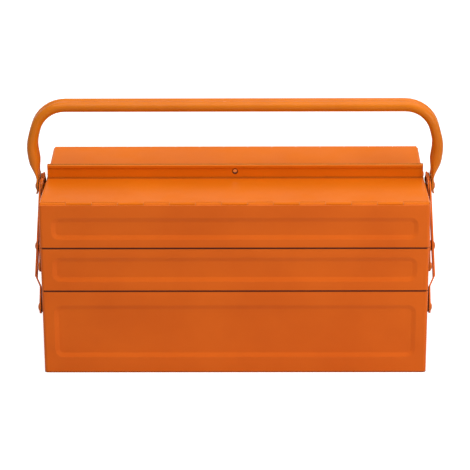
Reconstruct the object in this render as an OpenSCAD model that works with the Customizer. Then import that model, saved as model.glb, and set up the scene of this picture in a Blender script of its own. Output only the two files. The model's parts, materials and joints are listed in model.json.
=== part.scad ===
// Cantilever tool box: a sheet steel box with two tiers of trays on parallel links,
// two hinged lids and two swinging tube handles. Millimetres.
// X runs along the box, the front is at -Y and Z is up. The origin is under its middle.

/* [Box] */
// Length of the box and its trays
box_w = 430; // [380:5:500]
// Depth of the closed box, front to rear
box_d = 200; // [190:2:230]
// Height of the bottom box
box_h = 98.8; // [85:0.2:120]
// Height of the middle trays
mid_h = 50.4; // [44:0.2:60]
// Height of the top trays, up to the top of the hinge barrel
top_h = 52.3; // [48:0.1:62]
// Thickness of the sheet
sheet = 1; // [0.8:0.1:1.4]
// Radius of the upright corners
corner_r = 4; // [3:0.5:6]
// Height of the folded hem along a rim
hem_h = 6; // [4:0.5:9]
// Gap between one tray and the one above it
tier_gap = 0.6; // [0.4:0.1:1.2]
// Gap between the front and the rear trays
centre_gap = 1.2; // [0.8:0.1:3]

/* [Pressed panels] */
// Depth of a pressed panel
panel_depth = 1.8; // [1:0.1:3]
// Width of a panel's sloping border
panel_slope = 5; // [3:0.5:7]
// Corner radius of a panel
panel_r = 9; // [7:0.5:11]
// Plain sheet left at each end of a panel
panel_side = 13; // [11:1:30]
// Plain sheet below the bottom box's panel
panel_box_low = 19; // [14:0.5:26]
// Plain sheet above the bottom box's panel
panel_box_high = 17; // [14:0.5:24]
// Plain sheet above and below the middle tray's panel
panel_mid_edge = 10.8; // [8:0.2:13]
// Plain sheet below the top tray's panel
panel_top_low = 9.7; // [8:0.1:13]
// Plain sheet above the top tray's panel
panel_top_high = 16.9; // [12:0.1:18]

/* [Lids] */
// How much lower a lid lies at the middle of the box than at its hinge
lid_fall = 5.1; // [2:0.1:7]
// Depth of a lid's folded ends
skirt_h = 5; // [4:0.5:7]
// Outer radius of the bend along a lid's ends
skirt_r = 3; // [2:0.25:3.5]
// Height of the upright flange where the lids meet
flange_h = 16.5; // [13:0.5:22]
// Height of the hem along the flange
flange_hem = 4; // [3:0.5:5]
// Diameter of the padlock hole through both flanges
lock_d = 5; // [4:0.5:7]
// Outer diameter of the hinge barrel
barrel_d = 4.4; // [4:0.1:5]
// Diameter of the hinge pin
hinge_pin_d = 2; // [1.6:0.1:2.4]
// Number of knuckles along a hinge, always odd
knuckles = 15; // [9:2:21]

/* [Links] */
// Distance of the lowest lever pivot from the front face
pivot_in = 13; // [11:0.5:18]
// Distance of the lowest lever pivot below the box's rim
pivot_drop = 23.8; // [20:0.2:30]
// Distance of the uppermost lever pivot in front of the middle of the box
pivot_out = 11; // [9.5:0.5:15]
// How much longer than one tier a stage stands
stage_rise = 7.5; // [6:0.1:9]
// Width of a long lever
lever_width = 15; // [13:0.5:17]
// Thickness of a long lever
lever_t = 2; // [1.8:0.1:2.8]
// Outward bow of a long lever between its ends
lever_bow = 2.5; // [0:0.1:3]
// Distance up the lever at which its offset starts
offset_start = 22; // [18:1:26]
// Length of the lever's offset
offset_run = 12; // [9:1:15]
// Width of a short link
link_width = 12; // [11:0.5:14]
// Thickness of a short link
link_t = 1.8; // [1.4:0.1:2]
// Distance of the lower link's upper pivot in front of the middle of the box
lower_link_out = 13; // [11:0.5:16]
// Height of the lower link's pivot above the lever's
lower_link_up = 1.5; // [0:0.5:3]
// Distance of the upper link's lower pivot from the front face
upper_link_in = 10; // [9:0.5:14]
// Height of the upper link's lower pivot above the middle tray's base
upper_link_up = 25.6; // [22:0.2:30]

/* [Rivets] */
// Diameter of a rivet's shank
rivet_d = 5; // [4:0.25:5.5]
// Diameter of a rivet's head
head_d = 9.6; // [8:0.2:11]
// Height of a rivet's head
head_h = 1.6; // [1.2:0.1:2]
// Diameter of the washers and spacers under the long levers
spacer_d = 12; // [10:0.5:14]

/* [Handles] */
// Diameter of the handle tube
tube_d = 11.6; // [10:0.1:12.5]
// Height of the tube's middle line above the upper pivot
grip_rise = 92.3; // [88:0.1:100]
// Gap between the two closed handles
grip_gap = 0.6; // [0.4:0.1:2]
// Middle-line radius of the upper bend
bend_r = 34.8; // [30:0.2:38]
// Middle-line radius of the leg's bow
bow_r = 49.4; // [46:0.2:56]
// How far the leg's outer edge stands out beyond the end of the box
leg_out = 20; // [17:0.1:22]
// Height of the leg's widest point above the upper pivot
leg_widest = 44; // [40:0.5:46]
// Thickness of the flattened tube ends
flat_t = 2.2; // [1.8:0.1:2.6]
// Width of the flattened tube ends
flat_width = 13; // [12:0.5:15]
// How far the tube's tips are splayed outwards
tip_splay = 2; // [0.4:0.1:3]

/* [Fits] */
// Radial play of a rivet or hinge pin in its hole
fit = 0.05; // [0.03:0.01:0.1]
// Radial play in the open end of a short link
loose_fit = 0.1; // [0.06:0.01:0.15]
// Side play between faces that slide past each other
side_gap = 0.4; // [0.3:0.05:0.5]

/* [Hidden] */

ORANGE = [0.90, 0.40, 0.10];
STEEL = [0.72, 0.72, 0.74];
ARC_STEPS = 6;       // facets of an upright corner
PANEL_STEPS = 32;    // facets round a panel's corner pieces
BARREL_STEPS = 20;   // facets round a hinge barrel
END_STEPS = 16;      // facets of a lever's round end
MARGIN = 1;          // how far a cutter reaches past what it cuts
SKIN = 0.01;         // thickness of a hull's end plates
$fn = 48;

half_w = box_w / 2;
half_d = box_d / 2;
tray_d = half_d - centre_gap / 2;
mid_z = box_h + tier_gap;
top_z = mid_z + mid_h + tier_gap;
tier = mid_h + tier_gap;

// hinge
barrel_r = barrel_d / 2;
leaf_drop = 0.8 * barrel_r;   // how far a leaf's flat part reaches below the pin
hinge_y = sheet + side_gap + barrel_r - half_d;
hinge_z = top_z + top_h - barrel_r;
lid_run = -centre_gap / 2 - hinge_y;
lid_slope = asin(lid_fall / lid_run);
lid_low_z = hinge_z + barrel_r / cos(lid_slope) - lid_run * tan(lid_slope);
flange_root = 0.6 * sheet;   // how far the flange reaches down into the lid's sheet
barrel_in = 1.5;             // how much shorter the barrel is at each end
barrel_half = half_w - barrel_in;
knuckle_gap = 0.3;
knuckle_pitch = 2 * barrel_half / knuckles;

// pivots of a front corner, as [y, z]; a closed link leans back by stage_back
stage_back = (half_d - pivot_in - pivot_out) / 2;
stage = [stage_back, tier + stage_rise];
stage_len = norm(stage);
lean = atan2(stage[0], stage[1]);
box_pivot = [pivot_in - half_d, box_h - pivot_drop];
mid_pivot = box_pivot + stage;
top_pivot = mid_pivot + stage;
lower_low = [-lower_link_out - stage_back, box_pivot[1] + lower_link_up];
lower_high = lower_low + stage;
upper_low = [upper_link_in - half_d, mid_z + upper_link_up];
upper_high = upper_low + stage;

// layers outside the box's ends, along X
inner_x = half_w - sheet;
link_x = half_w + side_gap;
ear_t = 1.6;
ear_clear = 0.7;   // clear of the links under the ear
low_lap = 0.4;     // how far the lever's low end lies within the links' layer
ear_x = link_x + link_t + ear_clear;
lever_top_x = ear_x + ear_t + side_gap;
lever_low_x = link_x + link_t - low_lap;
lever_wide_x = lever_top_x + lever_bow;
flat_x = lever_top_x + lever_t + 2 * side_gap;
tube_r = tube_d / 2;
flat_half = flat_width / 2;

// inner face of a long lever at a distance s from its lowest pivot
function lever_face(s) =
    s <= offset_start ? lever_low_x
    : s <= offset_start + offset_run ?
        lever_low_x + (lever_wide_x - lever_low_x) * (s - offset_start) / offset_run
    : lever_wide_x - lever_bow * (s - offset_start - offset_run)
        / (2 * stage_len - offset_start - offset_run);

// slack of the tilted lever face over its own half width
tilt_slack = 0.25;
mid_face = lever_face(stage_len);

// handle: the leg's middle line, in the handle's own plane
leg_x = half_w + leg_out - tube_r - bow_r;
bend_in = 23.7;   // from the end of the box to the middle of the upper bend
top_arc_x = half_w - bend_in;
top_arc_z = grip_rise - bend_r;
grip_lean = asin((-top_pivot[0] - tube_r - grip_gap / 2) / grip_rise);
// where the bow ends and the tube turns flat
bow_end = -7;

function arc(c, r, from, to, steps) =
    [for (i = [0:steps]) let (a = from + (to - from) * i / steps) c + r * [cos(a), sin(a)]];

function round_rect(x0, x1, y0, y1, r) = concat(
    arc([x1 - r, y1 - r], r, 0, 90, ARC_STEPS),
    arc([x0 + r, y1 - r], r, 90, 180, ARC_STEPS),
    arc([x0 + r, y0 + r], r, 180, 270, ARC_STEPS),
    arc([x1 - r, y0 + r], r, 270, 360, ARC_STEPS));

module rear() mirror([0, 1, 0]) children();
module left() mirror([1, 0, 0]) children();
module both_ends() {
    children();
    left() children();
}

// a solid along +X from x0 to x1, with its axis at the pivot p
module along_x(p, x0, x1, d) {
    translate([x0, p[0], p[1]]) rotate([0, 90, 0]) cylinder(d = d, h = x1 - x0);
}

// a [y, z] outline extruded along +X from x0 to x1
module plate(x0, x1) {
    translate([x0, 0, 0]) rotate([90, 0, 90]) linear_extrude(x1 - x0) children();
}

// upright prism with rounded corners
module block(x, y0, y1, z0, z1, r) {
    translate([0, 0, z0])
        linear_extrude(z1 - z0) polygon(round_rect(-x, x, y0, y1, r));
}

// open tray of plain sheet with a hem inside its rim
module tray_shell(y0, y1, z0, z1) {
    difference() {
        block(half_w, y0, y1, z0, z1, corner_r);
        block(half_w - 2 * sheet, y0 + 2 * sheet, y1 - 2 * sheet,
            z1 - hem_h - MARGIN, z1 + MARGIN, corner_r - 2 * sheet);
        block(half_w - sheet, y0 + sheet, y1 - sheet, z0 + sheet, z1 - hem_h,
            corner_r - sheet);
    }
}

// tapering rounded plate in a front wall: wide at y, narrower at y + panel_depth
module panel_form(x, y, z0, z1, grow) {
    r = panel_r + grow;
    hull() {
        for (step = [[0, 0], [panel_depth, panel_slope]])
            for (sx = [-1, 1])
                for (z = [z0 - grow + r, z1 + grow - r])
                    translate([sx * (x + grow - r), y + step[0], z])
                        rotate([-90, 0, 0])
                            cylinder(r = r - step[1], h = SKIN, $fn = PANEL_STEPS);
    }
}

// a front wall's panel pressed in: the inner side swells as the outer side sinks
module pressed(y, z0, z1) {
    x = half_w - panel_side;
    difference() {
        union() {
            children();
            panel_form(x, y + sheet - SKIN, z0, z1, sheet / 2);
        }
        translate([0, -SKIN, 0]) panel_form(x, y, z0, z1, 0);
    }
}

module pivot_holes(pivots) {
    both_ends()
        for (p = pivots)
            along_x(p, half_w - 3 * sheet, half_w + MARGIN, rivet_d + 2 * fit);
}

// ---- bottom box ----
module bottom_box() {
    color(ORANGE) difference() {
        pressed(-half_d, panel_box_low, box_h - panel_box_high)
            rear() pressed(-half_d, panel_box_low, box_h - panel_box_high)
                tray_shell(-half_d, half_d, 0, box_h);
        pivot_holes([box_pivot, lower_low]);
        rear() pivot_holes([box_pivot, lower_low]);
    }
}

// ---- trays ----
module mid_tray() {
    color(ORANGE) difference() {
        pressed(-half_d, mid_z + panel_mid_edge, mid_z + mid_h - panel_mid_edge)
            tray_shell(-half_d, -centre_gap / 2, mid_z, mid_z + mid_h);
        pivot_holes([mid_pivot, lower_high, upper_low]);
    }
}

function knuckle_x(i) = -barrel_half + i * knuckle_pitch;

// rolled edge of one leaf: every second knuckle from the first
module knuckle_row(first) {
    for (i = [first:2:knuckles - 1])
        translate([knuckle_x(i) + knuckle_gap / 2, 0, 0]) children();
}

// the length of rolled sheet round the pin that belongs to one knuckle
module knuckle() {
    translate([0, hinge_y, hinge_z]) rotate([90, 0, 90])
        linear_extrude(knuckle_pitch - knuckle_gap)
            polygon(arc([0, 0], barrel_r, 0, 360 - 360 / BARREL_STEPS, BARREL_STEPS - 1));
}

module pin_bore() {
    along_x([hinge_y, hinge_z], -inner_x, inner_x, hinge_pin_d + 2 * fit);
}

// everything above the lids' folded ends
module above_skirts(gap) {
    translate([0, hinge_y, hinge_z]) rotate([-lid_slope, 0, 0])
        translate([-half_w - MARGIN, barrel_r, barrel_r - skirt_h - gap])
            cube([box_w + 2 * MARGIN, box_d, top_h]);
}

module top_tray() {
    wall_x = half_w - corner_r;
    rim_z = top_z + top_h - skirt_h - lid_fall - tier_gap;
    color(ORANGE) difference() {
        union() {
            pressed(-half_d, top_z + panel_top_low, top_z + top_h - panel_top_high)
                difference() {
                    block(half_w, -half_d, -centre_gap / 2, top_z, hinge_z, corner_r);
                    block(half_w - sheet, -half_d + sheet, -centre_gap / 2 - sheet,
                        top_z + sheet, hinge_z + MARGIN, corner_r - sheet);
                    above_skirts(side_gap);
                }
            // the inner wall's hem
            translate([-wall_x, -centre_gap / 2 - 2 * sheet, rim_z - hem_h])
                cube([2 * wall_x, sheet, hem_h]);
            knuckle_row(0) {
                translate([0, -half_d + sheet / 2, hinge_z - leaf_drop])
                    cube([knuckle_pitch - knuckle_gap, hinge_y + half_d - sheet / 2, leaf_drop]);
                knuckle();
            }
        }
        pin_bore();
        pivot_holes([upper_high]);
        both_ends() for (p = ear_rivet_places)
            along_x(p, half_w - 2 * sheet, half_w + MARGIN, ear_rivet_d + 2 * fit);
    }
}

// ---- lids ----
// a lid's panel with its folded ends, lying along +Y from the hinge and a little too long
module lid_panel() {
    inner_r = skirt_r - sheet;
    start = barrel_r + side_gap;
    low = barrel_r - skirt_h;
    far = lid_run + MARGIN;
    translate([0, far, 0]) rotate([90, 0, 0]) linear_extrude(far - start)
        polygon(concat(
            [[half_w, low]],
            arc([half_w - skirt_r, barrel_r - skirt_r], skirt_r, 0, 90, ARC_STEPS),
            arc([-half_w + skirt_r, barrel_r - skirt_r], skirt_r, 90, 180, ARC_STEPS),
            [[-half_w, low], [-half_w + sheet, low]],
            arc([-half_w + skirt_r, barrel_r - skirt_r], inner_r, 180, 90, ARC_STEPS),
            arc([half_w - skirt_r, barrel_r - skirt_r], inner_r, 90, 0, ARC_STEPS),
            [[half_w - sheet, low]]));
}

// section of a lid's tongue rolled round the pin, as [y, z] from the pin
function tongue_section() = let (
    under = barrel_r - sheet,
    reach = 2 * barrel_r)
    concat(
        arc([0, 0], barrel_r, 90, 360 + asin(under / barrel_r), BARREL_STEPS),
        [[reach, under], [reach, barrel_r]]);

// section of the upright flange, as [y, z] from the lid's inner top edge
function flange_section() = concat(
    [[-2.5 * sheet, -flange_root], [0, -flange_root], [0, flange_h - sheet]],
    arc([-sheet, flange_h - sheet], sheet, 0, 180, 2 * ARC_STEPS),
    [[-2 * sheet, flange_h - flange_hem], [-sheet, flange_h - flange_hem]],
    arc([-2.5 * sheet, 1.5 * sheet], 1.5 * sheet, 0, -90, ARC_STEPS));

module lid() {
    flange_x = half_w - skirt_r / 2;
    color(ORANGE) difference() {
        union() {
            difference() {
                translate([0, hinge_y, hinge_z]) rotate([-lid_slope, 0, 0]) lid_panel();
                // the panel ends at the flange's upright back
                translate([-half_w - MARGIN, -centre_gap / 2, hinge_z - lid_fall - skirt_h])
                    cube([box_w + 2 * MARGIN, 2 * MARGIN, top_h]);
            }
            translate([-flange_x, -centre_gap / 2, lid_low_z]) rotate([90, 0, 90])
                linear_extrude(2 * flange_x) polygon(flange_section());
            knuckle_row(1)
                translate([0, hinge_y, hinge_z]) rotate([-lid_slope, 0, 0]) rotate([90, 0, 90])
                    linear_extrude(knuckle_pitch - knuckle_gap) polygon(tongue_section());
        }
        pin_bore();
        translate([0, MARGIN, lid_low_z + flange_h / 2]) rotate([90, 0, 0])
            cylinder(d = lock_d, h = 6 * sheet);
    }
}

module hinge_pin() {
    color(STEEL) along_x([hinge_y, hinge_z], -barrel_half, barrel_half, hinge_pin_d);
}

// ---- long levers ----
// bar with round ends from one pivot to the other, extruded along +X
module bar(p, q, width, x0, x1) {
    run = q - p;
    turn = atan2(run[1], run[0]);
    plate(x0, x1) polygon(concat(
        arc(q, width / 2, turn - 90, turn + 90, END_STEPS),
        arc(p, width / 2, turn + 90, turn + 270, END_STEPS)));
}

// side profile of a long lever, as [distance up the lever, x]
function lever_profile(far) = let (
    stations = [-far, offset_start, offset_start + offset_run, 2 * stage_len + far])
    concat(
        [for (s = stations) [s, lever_face(s)]],
        [for (i = [3:-1:0]) [stations[i], lever_face(stations[i]) + lever_t]]);

module lever() {
    color(ORANGE) difference() {
        intersection() {
            bar(box_pivot, top_pivot, lever_width,
                lever_low_x - MARGIN, lever_wide_x + lever_t + MARGIN);
            translate([0, box_pivot[0], box_pivot[1]]) rotate([90 - lean, 0, 0])
                rotate([0, 0, 90]) mirror([0, 1, 0])
                    translate([0, 0, -lever_width]) linear_extrude(2 * lever_width)
                        polygon(lever_profile(lever_width));
        }
        for (p = [box_pivot, mid_pivot, top_pivot])
            along_x(p, lever_low_x - MARGIN, lever_wide_x + lever_t + MARGIN, rivet_d + 2 * fit);
    }
}

// ---- short links ----
// a link turns on its held end, and its open end has more play
module short_link(held, open) {
    color(ORANGE) difference() {
        bar(held, open, link_width, link_x, link_x + link_t);
        along_x(held, link_x - MARGIN, link_x + link_t + MARGIN, rivet_d + 2 * fit);
        along_x(open, link_x - MARGIN, link_x + link_t + MARGIN, rivet_d + 2 * loose_fit);
    }
}

// ---- ears: the joggled brackets that carry the top pivots ----
ear_width = 17;
ear_foot = 22;        // height of the foot riveted to the tray's end
ear_drop = 13;        // from the pivot down to the top of the foot
ear_step = 3;         // height of the joggle above the foot
ear_rivet_d = 3;
ear_rivet_out = 3.6;  // of each small rivet from the ear's middle
ear_head_d = 5.6;
ear_head_h = 1;
ear_foot_top = top_pivot[1] - ear_drop;
ear_rivet_places = [
    for (side = [-1, 1]) [top_pivot[0] + side * ear_rivet_out, ear_foot_top - ear_foot / 2]];

module ear() {
    foot_x = half_w;
    step_top = ear_foot_top + ear_step;
    color(ORANGE) difference() {
        intersection() {
            plate(foot_x, ear_x + ear_t) polygon(concat(
                arc(top_pivot, ear_width / 2, 0, 180, END_STEPS),
                [for (side = [-1, 1])
                    [top_pivot[0] + side * ear_width / 2, ear_foot_top - ear_foot]]));
            translate([0, top_pivot[0] + ear_width, 0]) rotate([90, 0, 0])
                linear_extrude(2 * ear_width) polygon([
                    [foot_x, ear_foot_top - ear_foot], [foot_x + ear_t, ear_foot_top - ear_foot],
                    [foot_x + ear_t, ear_foot_top], [ear_x + ear_t, step_top],
                    [ear_x + ear_t, top_pivot[1] + ear_width], [ear_x, top_pivot[1] + ear_width],
                    [ear_x, step_top], [foot_x, ear_foot_top]]);
        }
        along_x(top_pivot, foot_x, ear_x + ear_t + MARGIN, rivet_d + 2 * fit);
        for (p = ear_rivet_places)
            along_x(p, foot_x - MARGIN, foot_x + ear_t + MARGIN, ear_rivet_d + 2 * fit);
    }
}

// ---- rivets ----
// domed head with its flat side at the origin, rising along +Z
module dome(d, h) {
    r = (d * d / 4 + h * h) / (2 * h);
    intersection() {
        translate([0, 0, h - r]) sphere(r = r);
        translate([-d, -d, 0]) cube([2 * d, 2 * d, 2 * h]);
    }
}

// rivet at p with its shank from x0 to x1 and a domed head past each end
module rivet(p, x0, x1, d, head, height) {
    color(STEEL) {
        along_x(p, x0, x1, d);
        translate([x0, p[0], p[1]]) rotate([0, -90, 0]) dome(head, height);
        translate([x1, p[0], p[1]]) rotate([0, 90, 0]) dome(head, height);
    }
}

module pivot_rivet(p, x1) rivet(p, inner_x, x1, rivet_d, head_d, head_h);
module link_rivet(p) pivot_rivet(p, link_x + link_t + side_gap);

module ring(p, x0, x1, d) {
    color(STEEL) difference() {
        along_x(p, x0, x1, d);
        along_x(p, x0 - MARGIN, x1 + MARGIN, rivet_d + 2 * fit);
    }
}

module box_rivets() {
    for (turn = [0, 1]) mirror([0, turn, 0]) both_ends() {
        pivot_rivet(box_pivot, lever_low_x + lever_t + side_gap);
        link_rivet(lower_low);
    }
}

module box_washers() {
    for (turn = [0, 1]) mirror([0, turn, 0]) both_ends()
        ring(box_pivot, half_w, lever_low_x - side_gap, spacer_d);
}

module mid_spacers() {
    both_ends() ring(mid_pivot, half_w, mid_face - tilt_slack - side_gap, spacer_d);
}

module mid_rivets() {
    both_ends() {
        pivot_rivet(mid_pivot, mid_face + lever_t + tilt_slack + side_gap);
        link_rivet(lower_high);
        link_rivet(upper_low);
    }
}

module top_rivets() {
    both_ends() {
        rivet(top_pivot, ear_x, flat_x + flat_t + side_gap, rivet_d, head_d, head_h);
        link_rivet(upper_high);
    }
}

module ear_rivets() {
    both_ends() for (p = ear_rivet_places)
        rivet(p, inner_x, half_w + ear_t, ear_rivet_d, ear_head_d, ear_head_h);
}

// ---- handles ----
TUBE_SIDES = 20;
bend_to_bow = [top_arc_x - leg_x, top_arc_z - leg_widest];
// slope of the short straight that touches both bends
leg_turn = atan2(bend_to_bow[1], bend_to_bow[0]) - acos((bow_r - bend_r) / norm(bend_to_bow));
bow_c = [leg_x, leg_widest];
bow_low = bow_c + bow_r * [cos(bow_end), sin(bow_end)];
bow_down = [sin(bow_end), -cos(bow_end)];
flat_mid = flat_x + flat_t / 2;
flat_top = 8;        // where the tube is fully flat, above the pivot
flat_lap = 2;        // how far the squeezed tube runs into the flat
lap_skin = 0.05;     // how much smaller it is there, all round
flat_run = 22;       // length over which the tube is squeezed
flat_edge = 0.3;     // how square the flat's edges are, lower for squarer
foot_drop = 3;       // middle of the round foot, below the pivot
splay_from = 5.2;    // where the foot starts to splay, below the pivot
flat_pull = 4;       // how long the tube keeps its direction above the flat
leg_pull = 14;       // how long it keeps its direction below the bow

function bezier(a, b, c, d, steps) = [
    for (i = [1:steps - 1]) let (t = i / steps, u = 1 - t)
        u * u * u * a + 3 * u * u * t * b + 3 * u * t * t * c + t * t * t * d];

// middle line of the right half, from the flat to the middle of the grip
half_line = concat(
    [[flat_mid, flat_top - flat_lap], [flat_mid, flat_top]],
    bezier([flat_mid, flat_top], [flat_mid, flat_top + flat_pull],
        bow_low + leg_pull * bow_down, bow_low, 7),
    arc(bow_c, bow_r, bow_end, leg_turn, 6),
    arc([top_arc_x, top_arc_z], bend_r, leg_turn, 90, 8));
last = len(half_line) - 1;
grip_line = concat(half_line, [for (i = [last:-1:0]) [-half_line[i][0], half_line[i][1]]]);

// how flat the tube is at a height above the pivot, from 0 to 1
function flatness(z) = let (
    t = max(0, min(1, (flat_top + flat_run - z) / flat_run))) t * t * (3 - 2 * t);

// one ring of the tube: a circle that turns into a flat, faintly bulged, with rounded edges
function tube_ring(p, along) = let (
    across = [along[1], -along[0]],
    w = flatness(p[1]))
    [for (k = [0:TUBE_SIDES - 1]) let (
        a = 360 * k / TUBE_SIDES,
        flat_n = (flat_t / 2 - lap_skin) * sign(cos(a)) * pow(abs(cos(a)), flat_edge),
        flat_b = (flat_half - lap_skin) * sin(a),
        c = p + ((1 - w) * tube_r * cos(a) + w * flat_n) * across)
        [c[0], (1 - w) * tube_r * sin(a) + w * flat_b, c[1]]];

module tube() {
    count = len(grip_line);
    rings = [for (i = [0:count - 1]) let (
        run = grip_line[min(i + 1, count - 1)] - grip_line[max(i - 1, 0)])
        tube_ring(grip_line[i], run / norm(run))];
    walls = [for (i = [0:count - 2], k = [0:TUBE_SIDES - 1]) let (
        a = i * TUBE_SIDES + k,
        b = i * TUBE_SIDES + (k + 1) % TUBE_SIDES)
        each [[a, a + TUBE_SIDES, b], [b, a + TUBE_SIDES, b + TUBE_SIDES]]];
    first_cap = [for (k = [0:TUBE_SIDES - 1]) k];
    last_cap = [for (k = [TUBE_SIDES - 1:-1:0]) (count - 1) * TUBE_SIDES + k];
    polyhedron([for (r = rings) each r], concat([first_cap, last_cap], walls));
}

// flattened tube end with a round foot, splayed outwards below the pivot
module flat_end() {
    low = foot_drop + flat_half;
    far = flat_t + tip_splay + MARGIN;
    intersection() {
        plate(flat_x - MARGIN, flat_x + far) polygon(concat(
            arc([0, -foot_drop], flat_half, 180, 360, END_STEPS),
            [[flat_half, flat_top], [-flat_half, flat_top]]));
        translate([0, flat_width, 0]) rotate([90, 0, 0]) linear_extrude(2 * flat_width)
            polygon([
                [flat_x, flat_top + MARGIN], [flat_x, -splay_from],
                [flat_x + tip_splay, -low - MARGIN], [flat_x + flat_t + tip_splay, -low - MARGIN],
                [flat_x + flat_t, -splay_from], [flat_x + flat_t, flat_top + MARGIN]]);
    }
}

module handle() {
    color(ORANGE) translate([0, top_pivot[0], top_pivot[1]]) rotate([-grip_lean, 0, 0]) {
        difference() {
            union() {
                tube();
                both_ends() flat_end();
            }
            both_ends() along_x([0, 0], flat_x - MARGIN, flat_x + flat_t + MARGIN, rivet_d + 2 * fit);
        }
    }
}

bottom_box();
mid_tray();  // mid_tray_front
rear() mid_tray();  // mid_tray_rear
top_tray();  // top_tray_front
rear() top_tray();  // top_tray_rear
lid();  // lid_front
rear() lid();  // lid_rear
hinge_pin();  // hinge_pin_front
rear() hinge_pin();  // hinge_pin_rear
left() lever();  // lever_front_left
lever();  // lever_front_right
rear() left() lever();  // lever_rear_left
rear() lever();  // lever_rear_right
left() short_link(lower_low, lower_high);  // lower_link_front_left
short_link(lower_low, lower_high);  // lower_link_front_right
rear() left() short_link(lower_low, lower_high);  // lower_link_rear_left
rear() short_link(lower_low, lower_high);  // lower_link_rear_right
left() short_link(upper_low, upper_high);  // upper_link_front_left
short_link(upper_low, upper_high);  // upper_link_front_right
rear() left() short_link(upper_low, upper_high);  // upper_link_rear_left
rear() short_link(upper_low, upper_high);  // upper_link_rear_right
left() ear();  // ear_front_left
ear();  // ear_front_right
rear() left() ear();  // ear_rear_left
rear() ear();  // ear_rear_right
handle();  // handle_front
rear() handle();  // handle_rear
box_washers();
mid_spacers();  // mid_spacers_front
rear() mid_spacers();  // mid_spacers_rear
box_rivets();
mid_rivets();  // mid_rivets_front
rear() mid_rivets();  // mid_rivets_rear
top_rivets();  // top_rivets_front
rear() top_rivets();  // top_rivets_rear
ear_rivets();  // ear_rivets_front
rear() ear_rivets();  // ear_rivets_rear
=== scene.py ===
import json
import math

import bpy
from mathutils import Matrix, Vector

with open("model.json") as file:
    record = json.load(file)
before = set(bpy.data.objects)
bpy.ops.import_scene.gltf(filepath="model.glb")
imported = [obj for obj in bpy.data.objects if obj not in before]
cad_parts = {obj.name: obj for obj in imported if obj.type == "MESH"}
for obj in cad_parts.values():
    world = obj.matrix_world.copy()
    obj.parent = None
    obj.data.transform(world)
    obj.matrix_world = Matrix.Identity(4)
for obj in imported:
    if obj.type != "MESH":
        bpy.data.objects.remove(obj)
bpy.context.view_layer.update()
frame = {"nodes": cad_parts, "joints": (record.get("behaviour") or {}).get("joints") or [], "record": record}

print("frame loaded:", len(frame["nodes"]), "nodes")


# shader maths written as plain expressions
class Wire:
    def __init__(self, sheet, socket):
        self.sheet = sheet
        self.socket = socket

    def math(self, operation, *others):
        return self.sheet.add("Math", {"operation": operation}, [self, *others])

    def __add__(self, other):
        return self.math("ADD", other)

    def __radd__(self, other):
        return self.math("ADD", other)

    def __sub__(self, other):
        return self.math("SUBTRACT", other)

    def __rsub__(self, other):
        return self.sheet.add("Math", {"operation": "SUBTRACT"}, [other, self])

    def __mul__(self, other):
        return self.math("MULTIPLY", other)

    def __rmul__(self, other):
        return self.math("MULTIPLY", other)

    def __truediv__(self, other):
        return self.math("DIVIDE", other)

    def __rtruediv__(self, other):
        return self.sheet.add("Math", {"operation": "DIVIDE"}, [other, self])

    def __pow__(self, other):
        return self.math("POWER", other)

    def __abs__(self):
        return self.math("ABSOLUTE")

    def least(self, other):
        return self.math("MINIMUM", other)

    def most(self, other):
        return self.math("MAXIMUM", other)

    # 0 below low, 1 above high, smooth between
    def rise(self, low, high):
        kind = {"interpolation_type": "SMOOTHSTEP"}
        return self.sheet.add("MapRange", kind, {"Value": self, "From Min": low, "From Max": high})


# the nodes of a material or of the world
class Sheet:
    def __init__(self, owner):
        owner.use_nodes = True
        self.owner = owner
        self.tree = owner.node_tree
        self.tree.nodes.clear()

    # any node, from its type, its settings and the numbers or wires of its sockets
    def node(self, kind, settings=None, inputs=None):
        node = self.tree.nodes.new("ShaderNode" + kind)
        for key, value in (settings or {}).items():
            setattr(node, key, value)
        pairs = inputs.items() if isinstance(inputs, dict) else enumerate(inputs or [])
        for key, value in pairs:
            if isinstance(value, Wire):
                self.tree.links.new(value.socket, node.inputs[key])
            else:
                node.inputs[key].default_value = value
        return node

    def add(self, kind, settings=None, inputs=None, output=0):
        return Wire(self, self.node(kind, settings, inputs).outputs[output])

    def place(self):
        return self.add("TexCoord", output="Object")

    def parts(self, vector):
        node = self.node("SeparateXYZ", inputs=[vector])
        return [Wire(self, socket) for socket in node.outputs]

    # 1 for what the camera sees, straight or in a shiny or clear surface
    def seen(self):
        ray = self.node("LightPath")
        camera, glossy, through = (Wire(self, ray.outputs["Is %s Ray" % kind])
                                   for kind in ("Camera", "Glossy", "Transmission"))
        return camera.most(glossy).most(through)

    def noise(self, vector, size, detail=2.0, rough=0.5):
        return self.add("TexNoise", inputs={
            "Vector": vector, "Scale": 1.0 / size, "Detail": detail, "Roughness": rough})

    def stretch(self, vector, scale):
        return self.add("Mapping", inputs={"Vector": vector, "Scale": scale})

    # a Mix node's colours are its sockets 6 and 7, and its mixed colour is output 2
    def mix(self, factor, first, second):
        return self.add("Mix", {"data_type": "RGBA"}, {0: factor, 6: first, 7: second}, output=2)

    def bump(self, height, depth, normal=None):
        inputs = {"Strength": 1.0, "Distance": depth, "Height": height}
        if normal:
            inputs["Normal"] = normal
        return self.add("Bump", inputs=inputs)

    def finish(self, shader, kind="OutputMaterial"):
        self.node(kind, inputs={"Surface": shader})
        return self.owner


def newSheet(name):
    return Sheet(bpy.data.materials.new(name))


def colour(r, g, b):
    return (r, g, b, 1.0)


# lowest and highest place of a node's mesh along one axis
def span(name, axis):
    places = [corner.co[axis] for corner in frame["nodes"][name].data.vertices]
    return min(places), max(places)


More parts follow.
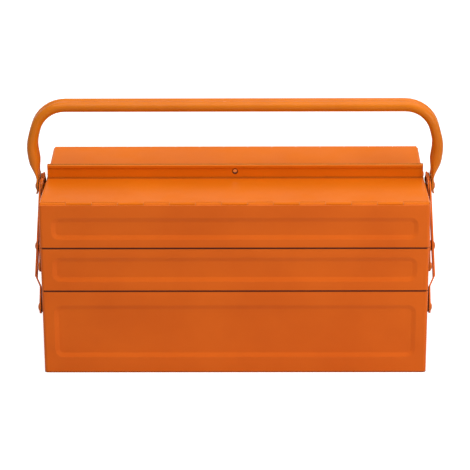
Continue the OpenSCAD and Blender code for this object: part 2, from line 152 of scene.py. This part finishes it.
# sizes and depths are in metres, and the rest are shares of 1
enamel = {
    "cloudSize": 0.09,                    # drifts of thicker paint
    "cloudMost": 0.8,
    "grainSize": 0.0009,                  # specks of thinner paint
    "grainMost": 0.05,
    "grainRough": 0.03,
    "smudgeSize": 0.035,                  # duller streaks where hands have been
    "smudgeRough": 0.11,
    "smudgeStretch": (1.0, 1.0, 2.2),
    "shineLift": 0.05,                    # how much glossier clean paint is than its coat says
    "peelSize": 0.0022,                   # orange peel
    "peelDepth": 0.000012,
    "wavesSize": 0.055,                   # slow waves of the sheet itself
    "wavesDepth": 0.00022,
    "edgeRadius": 0.0012,
    "edgeTurn": (0.004, 0.12),            # where the normal's turn counts as an edge
    # painted highlight: how strongly edges take the pale tone
    "edgeFilm": 0.65,
    "edgeCoat": 0.5,
    "coatRoughness": 0.2,
    "coatIor": 1.4,
    "grime": (0.075, 0.010, 0.002),       # dark colour painted as shade in seams and corners
    "grimeMost": 0.8,
    "grimeRough": 0.2,
    "grimeReach": 0.0045,                 # how near the faces are that cast that painted shade
    "grimeShut": (0.22, 0.52),            # how shut in a place is where it starts and is full
    "steel": (0.42, 0.40, 0.38),          # bare metal under the paint
    "steelRough": 0.12,
    "chipSize": 0.0016,
    "chipMost": 0.6,
    "wearMost": 0.38,
    "wearShows": (0.64, 0.74),
}
drift = (0.3, 0.75)                       # levels of noise between which a patch fades in
streak = (0.35, 0.75)

# each coat's paint, its pale tone for painted highlights on edges and for specks, and its thicker film in
# drifts
wallCoat = {"paint": (0.80, 0.144, 0.012), "thin": (0.88, 0.200, 0.030),
            "deep": (0.72, 0.119, 0.010), "roughness": 0.36, "ior": 1.17}
# painted light: the lids' coat is a yellower copy of the walls' paint, standing in for the lit tops
litTopCoat = {"paint": (0.73, 0.157, 0.004), "thin": (0.95, 0.290, 0.040),
           "deep": (0.67, 0.137, 0.003), "roughness": 0.38, "ior": 1.13}
linkCoat = {"paint": (0.80, 0.160, 0.010), "thin": (0.88, 0.230, 0.030),
            "deep": (0.70, 0.125, 0.008), "roughness": 0.34, "ior": 1.2}
tubeCoat = {"paint": (0.70, 0.178, 0.006), "thin": (0.85, 0.260, 0.020),
            "deep": (0.62, 0.145, 0.005), "roughness": 0.2, "ior": 1.22}


# a rounded normal, and how strongly its turn says that a point lies on an edge
def edgeMask(sheet, radius):
    soft = sheet.add("Bevel", {"samples": 6}, {"Radius": radius})
    flat = sheet.add("NewGeometry", output="Normal")
    turn = sheet.add("VectorMath", {"operation": "DOT_PRODUCT"}, [soft, flat], output="Value")
    return soft, (1 - turn).rise(*enamel["edgeTurn"])


# how deep a point lies in a corner or a narrow gap, for the painted shade there
def cornerShade(sheet, soft):
    light = sheet.add("AmbientOcclusion", {"samples": 8},
                      {"Distance": enamel["grimeReach"], "Normal": soft}, output="AO")
    return (1 - light).rise(*enamel["grimeShut"])


hinge = {
    "at": next(joint["pos_m"] for joint in frame["joints"] if joint["name"] == "lid_hinge_front"),
    "oiled": 0.004,                       # no painted shade this near to the pin
    "oilEnd": 0.005,
    "fade": 0.0005,                       # over which the lids' lit tone gives way to the walls' tone
}


# 1 away from both lids' hinges
def offHinge(sheet):
    _, y, z = sheet.parts(sheet.place())
    away = ((abs(y) + hinge["at"][1]) ** 2 + (z - hinge["at"][2]) ** 2) ** 0.5
    return away.rise(hinge["oiled"], hinge["oilEnd"])


# 1 above the hinge pins' height, where the knuckles take the lids' lit tone
def aboveHinge(sheet):
    height = sheet.parts(sheet.place())[2] - hinge["at"][2]
    return height.rise(-hinge["fade"], hinge["fade"])


# glossy enamel: what every painted piece shares; other is a mask and the coat under it
def enamelCoat(sheet, coat, grime=None, thin=None, wear=None, other=None):
    place = sheet.place()
    soft, edges = edgeMask(sheet, enamel["edgeRadius"])
    plain, deep, highlightAndSpeckTone = (colour(*coat[key]) for key in ("paint", "deep", "thin"))

    cloud = sheet.noise(place, enamel["cloudSize"], detail=3.0)
    paint = sheet.mix(cloud.rise(*drift) * enamel["cloudMost"], plain, deep)
    if other:
        mask, otherCoat = other
        paint = sheet.mix(mask, paint, colour(*otherCoat["paint"]))
    # painted highlight: edges, and any given highlight mask, take the pale tone
    highlightMask = edges * enamel["edgeFilm"]
    if thin:
        highlightMask = highlightMask.most(thin)
    paint = sheet.mix(highlightMask, paint, highlightAndSpeckTone)
    grain = sheet.noise(place, enamel["grainSize"], detail=1.0)
    paint = sheet.mix(grain.rise(*drift) * enamel["grainMost"], paint, highlightAndSpeckTone)
    # painted shade: corners, narrow gaps and any given shade marks turn dark and a little rougher, except
    # near the hinge pins
    shadeMask = cornerShade(sheet, soft) * offHinge(sheet) * enamel["grimeMost"]
    if grime:
        shadeMask = shadeMask.most(grime)
    paint = sheet.mix(shadeMask, paint, colour(*enamel["grime"]))

    stretched = sheet.stretch(place, enamel["smudgeStretch"])
    smudge = sheet.noise(stretched, enamel["smudgeSize"], detail=4.0, rough=0.6)
    rough = coat["roughness"] - enamel["shineLift"] + smudge.rise(*streak) * enamel["smudgeRough"]
    rough = rough + grain * enamel["grainRough"] + shadeMask * enamel["grimeRough"]

    waves = sheet.noise(place, enamel["wavesSize"], detail=1.0)
    peel = sheet.noise(place, enamel["peelSize"], detail=1.5)
    normal = sheet.bump(waves, enamel["wavesDepth"], soft)
    normal = sheet.bump(peel, enamel["peelDepth"], normal)

    metal = 0.0
    if wear:
        chips = sheet.noise(place, enamel["chipSize"], detail=3.0, rough=0.65)
        bare = (wear * enamel["wearMost"] + chips * enamel["chipMost"]).rise(*enamel["wearShows"])
        paint = sheet.mix(bare, paint, colour(*enamel["steel"]))
        rough = rough + bare * enamel["steelRough"]
        metal = bare
    return sheet.add("BsdfPrincipled", inputs={
        "Base Color": paint, "Roughness": rough, "Metallic": metal, "Normal": normal,
        "IOR": coat["ior"], "Coat Weight": edges * enamel["edgeCoat"],
        "Coat Roughness": enamel["coatRoughness"], "Coat IOR": enamel["coatIor"]})


tierShadeLine = {
    "half": 0.0011,                       # half its height
    "core": 0.00022,                      # half the height that is fully dark
    "skin": 0.0005,                       # how deep into a wall it reaches
    "skinFade": 0.0002,
}


# painted shade: the dark line where one tier meets the next, on the outer walls only
def tierShade(sheet):
    x, y, z = sheet.parts(sheet.place())
    wide = span("bottom_box", 0)[1]
    deep = span("bottom_box", 1)[1]
    meets = [span("bottom_box", 2)[1], *span("mid_tray_front", 2), span("top_tray_front", 2)[0]]
    near = abs(z - meets[0])
    for height in meets[1:]:
        near = near.least(abs(z - height))
    outer = (abs(x) - wide + tierShadeLine["skin"]).most(abs(y) - deep + tierShadeLine["skin"])
    return (1 - near.rise(tierShadeLine["core"], tierShadeLine["half"])) * outer.rise(0.0, tierShadeLine["skinFade"])


# the trays' and the box's enamel, with painted shade at the tier lines, and the hinge's knuckles above the
# pin in the lids' lit tone, as pale as the lids on top
def sheetEnamel():
    sheet = newSheet("sheetEnamel")
    return sheet.finish(enamelCoat(
        sheet, wallCoat, grime=tierShade(sheet), other=(aboveHinge(sheet), litTopCoat)))


# heights are measured from the flange's top or foot
flange = {
    "crestHeight": 0.0013,                # painted highlight along the top
    "crestFade": 0.00039,
    "ridgeHeight": 0.0005,                # painted shade along the upper edge
    "ridgeFade": 0.00025,
    "ridgeDirt": 0.4,
    "foldHeight": 0.0011,                 # painted shade, a dark line along the foot
    "foldFade": 0.00176,
    "foldDirt": 0.45,
    "depth": 0.0028,                      # how far from the middle these marks reach
    "depthFade": 0.00364,
    "ringWidth": 0.0012,                  # painted shade, a dark ring round the padlock hole
    "ringCore": 0.0006,
    "ringDirt": 0.95,
}


# the lids' enamel in the lids' lit tone, with a painted highlight on the flange's crest, and
# painted shade along its upper edge, in the fold at its foot and round the padlock hole
def lidEnamel():
    sheet = newSheet("lidEnamel")
    x, y, z = sheet.parts(sheet.place())
    hole = next(mount for mount in frame["record"]["mounts"] if mount["name"] == "padlock_hole")
    middle = hole["pos_m"][2]             # the hole is half way up the flange
    radius = hole["dims"]["r_mm"] / 1000
    top = span("lid_front", 2)[1]
    foot = 2 * middle - top
    # painted highlight on the crest; painted shade on the upper edge, in the fold and round the hole
    crest = (z - top + flange["crestHeight"]).rise(0.0, flange["crestFade"])
    ridge = (z - top + flange["ridgeHeight"]).rise(0.0, flange["ridgeFade"])
    fold = 1 - (z - foot).rise(flange["foldHeight"], flange["foldFade"])
    away = (x ** 2 + (z - middle) ** 2) ** 0.5
    ring = 1 - away.rise(radius + flange["ringCore"], radius + flange["ringWidth"])
    marks = (fold * flange["foldDirt"]).most(ring * flange["ringDirt"]).most(ridge * flange["ridgeDirt"])
    grime = marks * (1 - abs(y).rise(flange["depth"], flange["depthFade"]))
    # the lid knuckles' lower half takes the walls' tone, as painted shade under the pin
    knuckleFoot = (1 - offHinge(sheet)) * (1 - aboveHinge(sheet))
    return sheet.finish(enamelCoat(
        sheet, litTopCoat, grime=grime, thin=crest, other=(knuckleFoot, wallCoat)))


def tubeEnamel():
    sheet = newSheet("tubeEnamel")
    return sheet.finish(enamelCoat(sheet, tubeCoat))


wornRing = {"radius": 0.0052, "half": 0.0022}


# a worn ring round each pivot, where a washer or head rubs
def linkEnamel():
    sheet = newSheet("linkEnamel")
    _, y, z = sheet.parts(sheet.place())
    y = abs(y)                            # the rear's pivots mirror the front's
    pivots = [joint["pos_m"] for joint in frame["joints"]
              if joint["pos_m"][1] < 0 and not joint["name"].startswith("lid_hinge")]
    rub = None
    for _, pivotY, pivotZ in pivots:
        away = ((y + pivotY) * (y + pivotY) + (z - pivotZ) * (z - pivotZ)) ** 0.5
        ring = (1 - abs(away - wornRing["radius"]) / wornRing["half"]).most(0.0)
        rub = ring if rub is None else rub.most(ring)
    return sheet.finish(enamelCoat(sheet, linkCoat, wear=rub))


rivetWear = {"edgeRadius": 0.0009, "most": 0.9}


# the links' enamel, worn on the edges of the heads
def rivetEnamel():
    sheet = newSheet("rivetEnamel")
    edges = edgeMask(sheet, rivetWear["edgeRadius"])[1]
    return sheet.finish(enamelCoat(sheet, linkCoat, wear=edges * rivetWear["most"]))


pin = {
    "dark": (0.34, 0.15, 0.05),
    "pale": (0.48, 0.24, 0.10),
    "lineSize": 0.0006,
    "lineStretch": (0.03, 1.0, 1.0),      # drawn out along the wire
    "lineDepth": 0.00002,
    "roughness": 0.28,
    "lineRough": 0.2,
}


# drawn steel wire, tinted by enamel that got between the knuckles
def pinSteel():
    sheet = newSheet("pinSteel")
    lines = sheet.noise(sheet.stretch(sheet.place(), pin["lineStretch"]), pin["lineSize"])
    tone = sheet.mix(lines, colour(*pin["dark"]), colour(*pin["pale"]))
    return sheet.finish(sheet.add("BsdfPrincipled", inputs={
        "Base Color": tone, "Metallic": 1.0, "Roughness": pin["roughness"] + lines * pin["lineRough"],
        "Normal": sheet.bump(lines, pin["lineDepth"])}))


finishes = {
    "orange_enamel": sheetEnamel(),
    "lid": lidEnamel(),
    "link_enamel": linkEnamel(),
    "tube_enamel": tubeEnamel(),
    "rivet_steel": rivetEnamel(),
    "pin_steel": pinSteel(),
}
slotOf = {part["node"]: part["material_slot"] for part in frame["record"]["subparts"]}
for name, piece in frame["nodes"].items():
    piece.data.materials.clear()
    piece.data.materials.append(finishes["lid" if name.startswith("lid_") else slotOf[name]])
print("finishes assigned")


# the back lamp gives no glare, which would run along the lids
lamps = {
    "overhead": {"at": (0.2, -0.3, 1.75), "size": (2.4, 1.6), "watts": 37.0, "glare": True},
    "right": {"at": (1.25, -1.3, 0.6), "size": (0.8, 0.8), "watts": 11.0, "glare": True},
    "back": {"at": (-0.7, 1.7, 0.45), "size": (1.4, 0.8), "watts": 14.0, "glare": False},
}
aim = Vector((0.0, 0.0, 0.12))


def makeLamp(name, at, size, watts, glare):
    data = bpy.data.lights.new(name, "AREA")
    data.shape = "RECTANGLE"
    data.size, data.size_y = size
    data.energy = watts
    lamp = bpy.data.objects.new(name, data)
    bpy.context.scene.collection.objects.link(lamp)
    lamp.location = at
    lamp.rotation_euler = (aim - Vector(at)).to_track_quat("-Z", "Y").to_euler()
    lamp.visible_glossy = glare


floorPaper = {"tone": 0.55, "reach": 6.0, "glow": 0.76}


# pale paper that shows nearly white and keeps the object's shadow
def makeFloor():
    bpy.ops.mesh.primitive_plane_add(size=2 * floorPaper["reach"], location=(0, 0, 0))
    floor = bpy.context.active_object
    floor.name = "studioFloor"
    sheet = newSheet("floorPaper")
    tone = floorPaper["tone"]
    paper = sheet.add("BsdfDiffuse", inputs={"Color": colour(tone, tone, tone)})
    glow = sheet.add("Emission", inputs={
        "Color": colour(1, 1, 1), "Strength": sheet.seen() * floorPaper["glow"]})
    both = sheet.add("AddShader", inputs=[paper, glow])
    floor.data.materials.append(sheet.finish(both))


sky = {
    "light": 0.176,
    "glow": 0.86,                         # as pale as the far floor, so no horizon shows
}


def makeSky():
    world = bpy.data.worlds.new("studioSky")
    bpy.context.scene.world = world
    sheet = Sheet(world)
    level = sheet.seen() * (sky["glow"] - sky["light"]) + sky["light"]
    glow = sheet.add("Background", inputs={"Color": colour(1, 1, 1), "Strength": level})
    sheet.finish(glow, "OutputWorld")


# the photograph's own view, in metres, degrees and pixels
camera = {
    "at": (0.0198, -2.2688, 0.9954),
    "down": 20.93,
    "turn": 0.51,
    "roll": -0.25,
    "focalPixels": 2111.1,
    "framePixels": 470,
    "sensor": 36.0,
}


def makeCamera():
    data = bpy.data.cameras.new("photoCamera")
    data.sensor_width = camera["sensor"]
    data.lens = camera["focalPixels"] / camera["framePixels"] * camera["sensor"]
    eye = bpy.data.objects.new("photoCamera", data)
    bpy.context.scene.collection.objects.link(eye)
    down, turn, roll = (math.radians(camera[key]) for key in ("down", "turn", "roll"))
    ahead = Vector((-math.sin(turn), math.cos(turn), 0))
    right = Vector((math.cos(turn), math.sin(turn), 0))
    look = ahead * math.cos(down) - Vector((0, 0, math.sin(down)))
    top = ahead * math.sin(down) + Vector((0, 0, math.cos(down)))
    sideways = right * math.cos(roll) + top * math.sin(roll)
    upward = top * math.cos(roll) - right * math.sin(roll)
    axes = Matrix((sideways, upward, -look)).transposed().to_4x4()
    eye.matrix_world = Matrix.Translation(camera["at"]) @ axes
    bpy.context.scene.camera = eye


for name, lamp in lamps.items():
    makeLamp(name + "Lamp", **lamp)
makeFloor()
makeSky()
makeCamera()
bpy.context.scene.view_settings.view_transform = "Standard"
print("studio ready")
